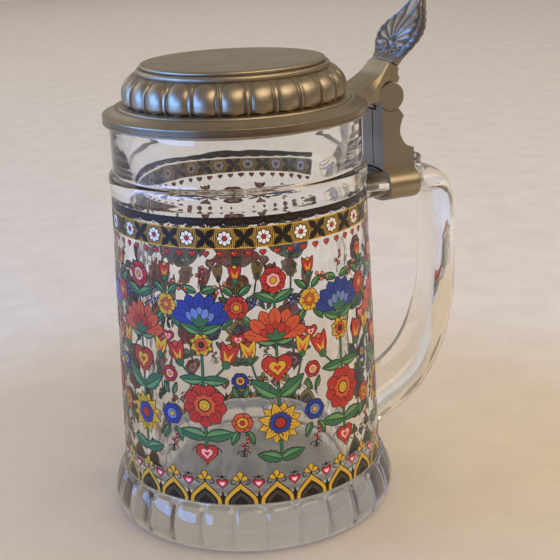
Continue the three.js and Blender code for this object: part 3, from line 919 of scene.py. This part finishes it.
def sweetheart(x, y, size, inner):
    bunches.inked("red", heart(size, size * 0.94, 40) + (x, y), 4, 0.32)
    bunches.inked(inner, heart(size * 0.55, size * 0.5) + (x, y + size * 0.03), 6, 0.2)
    bunches.fill("red", heart(size * 0.24, size * 0.22) + (x, y + size * 0.04), 8)
    for hand in (-1, 1):
        for k in range(4):
            aside = hand * size * (0.08 + 0.1 * k)
            bunches.dot("yellow", x + aside, y - size * (0.36 - 0.13 * k), size * 0.022, 6)


def berries(x, y, turn, length, colour, hand=1):
    """A fine sprig with berries to one side and the other."""
    bend = hand * length * 0.25
    line = [(bend * s * s, length * s) for s in np.linspace(0, 1, 9)]
    bunches.line("black", placed(line, x, y, turn), 0.34, 1, 0.3)
    for s, aside in [(0.42, 0.13), (0.6, -0.13), (0.78, 0.12), (1.0, 0)]:
        twig = [(bend * s * s, length * (s - 0.1)), (bend * s * s + aside * length, length * (s + 0.05))]
        foot, spot = placed(twig, x, y, turn)
        bunches.line("black", [foot, spot], 0.24, 1)
        bunches.dot("black", *spot, length * 0.085 + 0.18, 2)
        bunches.dot(colour, *spot, length * 0.085, 3)
        bunches.dot("white", spot[0] - length * 0.025, spot[1] + length * 0.025, length * 0.022, 4)


def curl(x, y, size, hand):
    """A tendril that rolls in from its outer end."""
    t = np.linspace(0, 1, 26)
    reach = size * (1 - 0.85 * t)
    roll = np.stack([reach * np.cos(2.5 * np.pi * t) - size, reach * np.sin(2.5 * np.pi * t)], axis=1)
    bunches.line("black", handed(roll, hand, x, y), 0.36, 1, 0.5)


x = bunch_pitch * 0.25
stalk([(x, 38), (x, 60), (x, 84), (x, 92)], 0.9)
sweetheart(x, 35.6, 7.6, "pink")
blossom(x, 53.5, 15.5, 9, "red", "orange", "yellow")
blossom(x, 75, 8.2, 8, "yellow", "orange", "brown", True)
fan(x, 81.5, 11.5, "blue", "sky", 132)
berries(x, 94.5, 0, 6.8, "red")
for hand in (-1, 1):
    frond(x, 41.5, hand * 66, 10.2, 4.4, hand * 2.4)
    curl(x + hand * 5.2, 36.6, 1.9, hand)
    stalk([(x, 61.5), (x + hand * 4.4, 64), (x + hand * 8, 67.6)], 0.6)
    tulip(x + hand * 8, 67.2, hand * 14, 8.8, "red", "orange")
    frond(x, 63, hand * 104, 8.6, 3.4, -hand * 1.8)
    frond(x, 79.5, hand * 80, 8.6, 3.3, -hand * 2.2)
    berries(x + hand * 3.4, 91, hand * 34, 7.2, "orange", hand)
    frond(x + hand, 93, hand * 62, 6.2, 2.4, hand * 1.2)

x = bunch_pitch * 0.75
stalk([(x, 32.5), (x, 56), (x, 84), (x, 95)], 0.9)
blossom(x, 46.5, 15, 12, "yellow", "blue", "red", True)
sweetheart(x, 65.5, 10.4, "yellow")
fan(x, 76, 11.2, "orange", "red", 150)
blossom(x, 96.5, 9, 7, "red", "pink", "yellow")
for hand in (-1, 1):
    frond(x, 33, hand * 58, 8.4, 3.6, hand * 2, 5)
    curl(x + hand * 3.4, 33.8, 1.5, hand)
    frond(x, 56.5, hand * 72, 10.6, 4.2, -hand * 3, 6)
    stalk([(x, 56.5), (x + hand * 6.2, 61), (x + hand * 8.9, 69.2)], 0.6)
    tulip(x + hand * 8.9, 69, hand * 6, 7.4, "yellow", "red")
    frond(x, 75.5, hand * 92, 7.6, 3, -hand * 1.6)
    berries(x + hand * 2.6, 86.5, hand * 50, 7.4, "blue", hand)
    frond(x, 89, hand * 52, 7.6, 3.1, hand * 1.6)

gaps = (bunch_pitch * 0.5, bunch_pitch)
for gap, y, size, outer, inner, eye in [
    (0, 47.5, 7, "orange", "yellow", "red"), (1, 49, 7.4, "blue", "sky", "yellow"),
    (0, 88, 8, "red", "orange", "yellow"), (1, 88, 7.6, "yellow", "orange", "yellow"),
    (0, 62.5, 5.4, "blue", "yellow", "red"), (1, 63.5, 5.8, "red", "pink", "yellow"),
]:
    blossom(gaps[gap], y, size, 6, outer, inner, eye, False, 3)
for x in gaps:
    for hand in (-1, 1):
        frond(x + hand * 1.4, 84.8, hand * 128, 5.6, 2.3, hand * 1.2)
        frond(x + hand * 1.2, 92, hand * 40, 5.2, 2.1, hand * 0.8)
        frond(x + hand * 1.2, 44.4, hand * 142, 5.4, 2.2, hand * 1.0)
        frond(x + hand * 0.8, 56.5, hand * 30, 4.4, 1.7, -hand * 0.6)
        curl(x + hand * 2.2, 36, 1.6, hand)
    tulip(x, 96.4, 0, 6.2, "red", "yellow", 3)
    stalk([(x, 92), (x, 97)], 0.5)
    berries(x, 35.4, 0, 6.4, "red")
    sweetheart(x, 76.5, 4.6, "pink")
fired("bunches", bunches, bunch_pitch, bunch_start, bunch_end, bunch_height)

# Handle collar
# An oval pewter tube cast round the handle's top bar, with rounded edges. It is finished with a fine
# satin scratch and carries the hinge.
collar_wall = 1.4
collar_bore = (bar_section[0] + 0.3, bar_section[1] + 0.3)
collar_edge = [(0, 0.42), (0.12, 0.2), (0.4, 0.02), (1, 0)]


def pewter(name, light, dark, roughness):
    """Cast pewter: cloudy, with a fine grain, darker where a body marks it, with patina in its hollows and
    painted shade on the lid's lip face, and smoother where it was turned.
    """
    finish = Finish(name)
    cloud = finish.noise(120, 4)
    speck = finish.noise(2600, 2)
    # The marked darkness is patina in hollows; on the lid's upright lip face it is painted shade, a painted
    # dark reflection.
    patina_and_painted_shade = finish.node("Attribute", {"attribute_name": "patina_and_painted_shade"}, output="Fac")
    turned_smooth = finish.node("Attribute", {"attribute_name": "turned"}, output="Fac")
    shade = finish.node("Clamp", inputs={0: cloud * 0.5 + speck * 0.25 + patina_and_painted_shade * 0.75 - 0.12})
    return finish.surfaced({
        "Base Color": finish.mixed(shade, light, dark),
        "Metallic": 1.0,
        "Roughness": cloud * 0.12 + speck * 0.06 + patina_and_painted_shade * 0.15 - turned_smooth * 0.2 + (roughness - 0.09),
        "Normal": finish.bumped(speck + cloud * 2, 0.5, 0.00003),
    })


satin_pewter = pewter("satin_pewter", (0.44, 0.365, 0.262, 1), (0.18, 0.142, 0.095, 1), 0.39)

collar_rows = [(collar_start + x, collar_wall - fall) for x, fall in collar_edge]
collar_rows += [(collar_end - x, collar_wall - fall) for x, fall in collar_edge[::-1]]
collar_rows += [(collar_end, 0.15), (collar_end - 0.3, 0), (collar_start + 0.3, 0), (collar_start, 0.15)]
around = full_turn(96)
collar_rings = []
for x, out in collar_rows:
    tall = (collar_bore[0] + out) * squared(np.cos(around), section_power)
    wide = (collar_bore[1] + out) * squared(np.sin(around), section_power)
    collar_rings.append(np.stack([0 * wide + x, wide, bar_height + tall], axis=1))
collar = cast("collar", *skinned(collar_rings, closed=True))
dressed(collar, satin_pewter)
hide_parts("handle_collar")
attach(collar, "mug")

# Hinge bracket and pin
# A pewter block with two ears and a slot between them, cast on the collar. The pin is a length of
# steel wire, pushed through the ears and the lid's knuckle.
hinge_x = collar_start + 3.6
hinge_height = rim_height + 0.2
collar_top = bar_height + collar_bore[0] + collar_wall
bracket_half_width = 8
bracket_depth = 8.9
bracket_sunk = 1.6
ear_radius = 5.1
ear_proud = 0.4
ear_groove_width = 0.32
ear_groove_depth = 0.4
knuckle_radius = 5.9
knuckle_half_width = 2.4
knuckle_room = 0.3
turning_clearance = 0.45
pin_radius = 1.5
pin_clearance = 0.1
seam_half_width = 0.25
seam_depth = 0.7


def curve(start, control, end, steps=10):
    """Points of a curve that starts and ends where it is told, pulled towards the control point."""
    t = np.linspace(0, 1, steps + 1)[1:, None]
    start, control, end = (np.array(p, float) for p in (start, control, end))
    return [tuple(p) for p in start * (1 - t) ** 2 + 2 * control * t * (1 - t) + end * t**2]


def slab(name, outline, half_width):
    """An outline in X and Z made solid from y = -half_width to y = half_width."""
    return cast(name, *capped([[(x, y, z) for x, z in outline] for y in (-half_width, half_width)]))


def hinge_bar(name, radius, half_length):
    """A round bar along Y, centred on the hinge."""
    outline = [(hinge_x + radius * np.cos(a), hinge_height + radius * np.sin(a)) for a in full_turn(72)]
    return slab(name, outline, half_length)


def edged(body, width):
    """Rounds the sharp edges over, as a casting's are, and keeps the broad faces flat."""
    body.data.shade_smooth()
    bevel = body.modifiers.new("edges", "BEVEL")
    bevel.width = width * mm
    bevel.segments = 3
    bevel.limit_method = "ANGLE"
    bevel.angle_limit = math.radians(32)
    bevel.use_clamp_overlap = True
    level = body.modifiers.new("flat faces", "WEIGHTED_NORMAL")
    level.weight = 100
    settled(body)


rise = hinge_height - collar_top
back = collar_start + bracket_depth
waist = (back - bracket_depth * 0.12, collar_top + rise * 0.41)
bracket_side = [
    (collar_start, collar_top - bracket_sunk), (collar_start, hinge_height - ear_radius * 0.6),
    (hinge_x, hinge_height), (hinge_x + ear_radius * 0.66, hinge_height - ear_radius * 0.95),
    (back, collar_top + rise * 0.715),
]
bracket_side += curve(bracket_side[-1], (back - bracket_depth * 0.3, collar_top + rise * 0.5), waist)
bracket_side += curve(waist, (back, collar_top + rise * 0.27), (collar_end, collar_top + rise * 0.24))
bracket_side.append((collar_end, collar_top - bracket_sunk))
block_half_width = bracket_half_width - ear_proud
bracket = slab("hinge_block", bracket_side, block_half_width)
for hand in (-1, 1):
    ear_groove = hinge_bar("ear_groove", ear_radius + ear_groove_width, ear_groove_depth)
    ear_groove.location.y = hand * block_half_width * mm
    worked(bracket, ear_groove, "DIFFERENCE")
worked(bracket, hinge_bar("ears", ear_radius, bracket_half_width), "UNION")
slot_half_width = knuckle_half_width + knuckle_room
worked(bracket, hinge_bar("slot", knuckle_radius + turning_clearance, slot_half_width), "DIFFERENCE")
worked(bracket, hinge_bar("bore", pin_radius + pin_clearance, bracket_half_width - 1), "DIFFERENCE")
seam_side = [
    (collar_start - 1, collar_top - 1), (collar_start + seam_depth, collar_top - 1),
    (collar_start + seam_depth, hinge_height), (collar_start - 1, hinge_height),
]
worked(bracket, slab("seam", seam_side, seam_half_width), "DIFFERENCE")
edged(bracket, 0.24)
dressed(bracket, pewter("dull_pewter", (0.34, 0.295, 0.24, 1), (0.16, 0.135, 0.105, 1), 0.46))
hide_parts("hinge_bracket")
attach(bracket, "mug")

wire = Finish("drawn_wire")
drawn = wire.noise(900, 2)
dressed(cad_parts["hinge_pin"], wire.surfaced({
    "Base Color": wire.mixed(drawn, (0.5, 0.5, 0.49, 1), (0.4, 0.4, 0.39, 1)),
    "Metallic": 1.0,
    "Roughness": drawn * 0.15 + 0.25,
}))

# Lid
# One pewter casting, turned on its lip: a flat top with a bead, a cove, a band of bulging lobes, two fine
# steps, a sloping flange and an upright lip that drops over the rim. It is hollow underneath.
seat = rim_height + 0.3
lip_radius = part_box("lid")[1].y / mm
lip_bore = neck_radius + 0.6
step_radius = lip_radius - 4.2
plateau_radius = lip_radius - 14
top_height = 18.3
lobes = 25
lobe_phase = math.radians(1.1)
lobe_depth = 1.15
lobe_share = 0.77
rib_share = 0.62
band_radius = lip_radius - 7.1
band_line = soft_line([
    (band_radius - 0.9, 5.0), (band_radius - 0.15, 6.1), (band_radius, 7.6), (band_radius - 0.1, 9.4),
    (band_radius - 0.7, 11.4), (band_radius - 2.1, 13.4), (band_radius - 4, 14.7), (band_radius - 5.6, 15.15),
], 8)

lid_angles = groove_angles(lobes, 24) + lobe_phase
aside = np.abs(((lid_angles - lobe_phase) * lobes / (2 * np.pi) + 0.5) % 1 - 0.5) * 2
lid_rows = []
lid_patina_and_painted_shade = []
lid_turned = []


def lid_line(base, rows):
    """Adds rows of (out from the base radius, up from the seat, how dark, how smooth). How dark is patina in
    the hollows and painted shade on the lip's upright face.

    The last two are 0 where a row doesn't give them.
    """
    for out, up, *shares in rows:
        patina_and_painted_shade, turned_smooth = (*shares, 0, 0)[:2]
        lid_rows.append((base + out, seat + up))
        lid_patina_and_painted_shade.append(np.broadcast_to(patina_and_painted_shade, len(lid_angles)))
        lid_turned.append(np.full(len(lid_angles), turned_smooth))


def marked(body, name, values):
    """Keeps a value for each point of the body, for its finish to read."""
    values = np.concatenate(values).astype(np.float32)
    body.data.attributes.new(name, "FLOAT", "POINT").data.foreach_set("value", values)


lid_line(0, [
    (2, 16.3, 0.3), (20, 16.3, 0.3), (29.6, 16.2, 0.3), (31.4, 14.2, 0.3), (35.4, 11.4, 0.3), (35.9, 9, 0.3),
    (37.5, 1.2, 0.3), (38.4, 0.2, 0.3), (39.5, 0, 0.3),
])
lid_line(lip_bore, [(-0.4, 0, 0.3), (0, -0.3, 0.3), (0, -0.9), (0.3, -1.2)])
# The lip's upright face is marked dark (0.85 and 0.7): painted shade, a painted dark reflection, not patina
# in a hollow.
lid_line(lip_radius, [
    (-0.45, -1.2), (-0.12, -1.08), (0, -0.8), (0, -0.55), (-0.22, -0.42, 0.5), (-0.22, -0.3, 0.5),
    (-0.05, -0.1, 0.85, 1), (-0.05, 1.4, 0.85, 1), (0, 1.7, 0.7, 1), (-0.1, 1.93), (-0.35, 2.05),
])
for share in np.linspace(0, 1, 7)[1:]:
    lid_line(lip_radius - 0.35, [(-3.55 * share, 2.05 + 1.75 * share - 0.25 * math.sin(math.pi * share))])
lid_line(step_radius, [
    (-0.1, 4.0, 0.2), (-0.35, 4.12, 0.1), (-0.75, 4.12), (-1.0, 4.0, 0.3), (-1.25, 4.0, 0.35),
    (-1.4, 4.45, 0.2), (-1.65, 4.62), (-2.3, 4.68, 0.1), (-2.6, 4.66, 0.1), (-2.9, 4.72, 0.2),
])
for share in np.linspace(0, 1, 44):
    radius, up = (np.interp(share, np.linspace(0, 1, len(band_line)), line) for line in band_line.T)
    arched = math.sqrt(max(0.0, 1 - max(0.0, (share - 0.6) / 0.29) ** 2))
    toe = math.sqrt(max(0.0, 1 - max(0.0, (0.05 - share) / 0.056) ** 2))
    lobe_half = lobe_share * arched * toe
    inside_lobe = np.clip(1 - (aside / max(lobe_half, 0.001)) ** 2, 0, 1)
    bulge = inside_lobe**0.62 if lobe_half > 0.02 else 0
    rib = eased((aside - 0.85) / 0.07) * (1 - 0.75 * eased((share - 0.62) / 0.2))
    raised = np.maximum(bulge, rib * rib_share)
    sunk = lobe_depth * (1 - raised) * (1 - 0.5 * eased((share - 0.8) / 0.2))
    lid_line(radius, [(-sunk, up, np.clip(0.5 - raised * 1.6, 0, 1))])
lid_line(plateau_radius, [
    (1.15, 14.9, 0.9), (1.35, 15.05, 0.5), *[(*point, 0.1) for point in arc((0.35, 15.75), 1.15, -35, 80, 8)],
    (-0.35, 16.85, 0.6), *arc((-0.75, 17.45), 0.75, -50, 68, 8), (-0.75, 18.2), (-1.1, 18.22, 0.25),
    (-1.35, 18.28), (-1.8, top_height), (-5, top_height), (-14, top_height),
])
lid_line(0, [(4, top_height)])
lid = cast("lid_casting", *turned(lid_angles, lid_rows))
# The lid's marked darkness: patina in its hollows, and painted shade on its lip's face.
marked(lid, "patina_and_painted_shade", lid_patina_and_painted_shade + [[0, 0]])
marked(lid, "turned", lid_turned + [[0, 0]])
dressed(lid, satin_pewter)
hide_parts("lid")
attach(lid, "lid")

# Lid strap
# A pewter casting soldered to the lid: it leaves the flange in a flare with a wing on each side, climbs
# over the hinge, and ends in the knuckle that turns on the pin between the ears.
strap_half_width = 7
strap_top = hinge_height + 12.5
lean = math.radians(33.5)
strap_neck_depth = 3.8
strap_neck_fall = strap_neck_depth * math.tan(lean)
strap_root = lip_radius - 3.6
strap_front = (hinge_x - 4.2, hinge_height + 8.1)
strap_flare_length = 8
lip_overlap = 0.4

underside = seat - 1.2
strap_side = [(strap_root, underside), (strap_root, seat + 2.2)]
strap_side += curve(strap_side[-1], (hinge_x - strap_flare_length, hinge_height + 4.7), strap_front, 14)
strap_side += [(hinge_x, strap_top), (hinge_x + strap_neck_depth, strap_top - strap_neck_fall)]
heel = (hinge_x + 4.1, hinge_height + 6.5)
strap_side += curve(strap_side[-1], (hinge_x + 2.9, hinge_height + 7.5), heel, 6)
strap_side += [
    (hinge_x + 3.1, hinge_height + 4.4), (hinge_x, hinge_height), (hinge_x - knuckle_radius * 0.8, underside),
]
strap = slab("strap_casting", strap_side, strap_half_width)

# A wing's stations: how far out it is, half its width and its height at the top, and both at its lower edge
wing_line = soft_line([
    (41.0, 5.0, 147.2, 16.5, 146.6), (44.0, 6.4, 147.9, 14.6, 146.5), (47.2, 7.4, 148.9, 12.2, 146.7),
    (50.0, 7.8, 150.2, 10.2, 148.0), (52.2, 7.7, 151.5, 9.1, 149.7), (54.1, 7.4, 152.9, 8.3, 151.6),
    (56.2, 7.15, 155.1, 7.6, 154.3), (58.1, 6.98, 157.0, 7.05, 156.8),
], 3)
wing_rings = []
for x, top_half, top_z, low_half, low_z in wing_line:
    right = [(x, top_half, top_z), (x, low_half, low_z), (x, low_half, underside)]
    wing_rings.append([(x, -y, z) for x, y, z in right[::-1]] + right)
worked(strap, cast("wings", *capped(wing_rings)), "UNION")
worked(strap, hinge_bar("ear_room", ear_radius + turning_clearance, bracket_half_width + 4), "DIFFERENCE")
lid_room_rows = [
    (2, underside - 1), (lip_radius - lip_overlap, underside - 1), (lip_radius - lip_overlap, seat + 1.6),
    (step_radius, seat + 3.4), (band_radius - 0.4, seat + 5), (band_radius - 0.4, seat + 12), (2, seat + 12),
]
worked(strap, cast("lid_room", *turned(full_turn(224), lid_room_rows)), "DIFFERENCE")
worked(strap, hinge_bar("knuckle", knuckle_radius, knuckle_half_width), "UNION")
worked(strap, hinge_bar("pin_bore", pin_radius + pin_clearance, knuckle_half_width + 1), "DIFFERENCE")
edged(strap, 0.25)
dressed(strap, satin_pewter)
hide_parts("lid_strap")
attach(strap, "lid")

# Thumb lift
# A cast pewter leaf with a shell of petals, two scrolls under it and a scalloped edge, soldered on the
# strap. It leans back and bends a little, and its dark patina is rubbed bright on the high spots.
leaf_length = 28.4
leaf_half_thickness = 1.5
leaf_rows = 170
leaf_columns = 130
petal_count = 9
petal_spread = math.radians(212)
eye_height = 7.4
scallop_pitch = 2.9
scroll_place = (4.4, 4.9)
scroll_radius = 2.7
scroll_pitch = 1.35
boss_place = (8.3, 6.6)
foot_flare = 0.7
leaf_crease = 60
lift_way = Vector((math.sin(lean), 0, math.cos(lean)))
out_way = Vector((-math.cos(lean), 0, math.sin(lean)))
leaf_base = Vector((hinge_x + strap_neck_depth / 2, 0, strap_top - strap_neck_fall / 2)) + 0.3 * lift_way

along = np.linspace(0, leaf_length, leaf_rows)
edge_line = soft_line([
    (0, 7.4), (2.3, 8.9), (5, 10.9), (7, 12.4), (9.4, 13.5), (11.9, 13.9), (14, 13.5), (16.4, 12.1),
    (18.5, 10.2), (20.5, 8.2), (22.6, 6.3), (24.4, 4.6), (26.4, 3.2), (leaf_length, 2.1),
], 8)
scallops = np.abs(np.sin(np.pi * along / scallop_pitch)) ** 0.8 - 0.6
half_widths = np.interp(along, edge_line[:, 0], edge_line[:, 1])
half_widths += 0.6 * scallops * eased((along - 4) / 2) * eased((27 - along) / 2)
swing, up = np.meshgrid(np.linspace(-np.pi / 2, np.pi / 2, leaf_columns), along)
side = np.sin(swing)
body = np.abs(np.cos(swing)) ** 0.3
y_leaf = side * half_widths[:, None]
bend = np.interp(along, [0, 8, 13, 19, 25, leaf_length], [0, 0.3, 0.1, -0.9, -0.7, -0.4])[:, None]

reach_eye = np.hypot(y_leaf, up - eye_height)
turn_eye = np.arctan2(y_leaf, up - eye_height)
ridge = np.abs(np.cos(np.pi * turn_eye / (petal_spread / petal_count)))
fan_share = 1 - eased((np.abs(turn_eye) - petal_spread / 2 + 0.06) / 0.08)
petal_end = np.abs(side) + 0.16 * (1 - ridge) + 0.05 * eased((up - 15) / 5)
petals = ridge**0.6 * (1 - eased((petal_end - 0.66) / 0.09)) * eased((reach_eye - 2.2) / 1.2) * fan_share
petals = petals * (0.45 + 0.55 * np.clip(reach_eye / 9, 0, 1))
rim_line = np.exp(-((np.abs(side) - 0.87) / 0.055) ** 2) * eased((up - 2) / 2)
eye = np.exp(-(reach_eye / 1.3) ** 4)
scrolls = 0
for hand in (-1, 1):
    from_y = y_leaf - hand * scroll_place[0]
    from_z = up - scroll_place[1]
    reach_scroll = np.hypot(from_y, from_z)
    arm = np.cos(2 * np.pi * reach_scroll / scroll_pitch - hand * np.arctan2(from_y, from_z))
    scrolls = scrolls + (0.45 + 0.55 * arm) * (1 - eased((reach_scroll - scroll_radius) / 0.5))
    boss = np.hypot(y_leaf - hand * boss_place[0], up - boss_place[1])
    scrolls = scrolls + np.exp(-(boss / 0.9) ** 4)
    scrolls = scrolls + 0.8 * np.exp(-((boss - 1.7) / 0.3) ** 2) * (up < eye_height)
tongue = np.exp(-(y_leaf / 0.8) ** 4) * (1 - eased((up - 4) / 1.5)) * eased(up / 0.8)
relief = np.clip(petals + 0.75 * rim_line + 0.9 * eye + 0.85 * scrolls + 0.6 * tongue, 0, 1.15)
root_share = (1 - eased(along / 3.6))[:, None]
stout = leaf_half_thickness + foot_flare * root_share
front = body * (stout - 0.45 + 0.45 * root_share + 0.8 * relief) + bend
back_face = -body * (stout - 0.15 * np.cos(turn_eye * 8) * fan_share) + bend
patina_and_painted_shade = np.clip(0.95 - relief * 1.25, 0, 1) * (0.45 + 0.55 * eased((along - 1.5) / 4))[:, None]


def leaf_face(proud):
    """Points that stand out from the leaf's middle by that much, in rows from its foot to its tip."""
    x = leaf_base.x + lift_way.x * up + out_way.x * proud
    z = leaf_base.z + lift_way.z * up + out_way.z * proud
    return np.stack([x, y_leaf, z], axis=-1)


leaf_rings = np.concatenate([leaf_face(front), leaf_face(back_face)[:, ::-1]], axis=1)
thumb_lift = cast("shell_thumb_lift", *capped(leaf_rings), leaf_crease)
marked(thumb_lift, "patina_and_painted_shade", np.concatenate([patina_and_painted_shade, patina_and_painted_shade[:, ::-1] * 0.6], axis=1))
dressed(thumb_lift, pewter("dark_pewter", (0.45, 0.40, 0.345, 1), (0.12, 0.11, 0.10, 1), 0.38))
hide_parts("thumb_lift")
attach(thumb_lift, "lid")
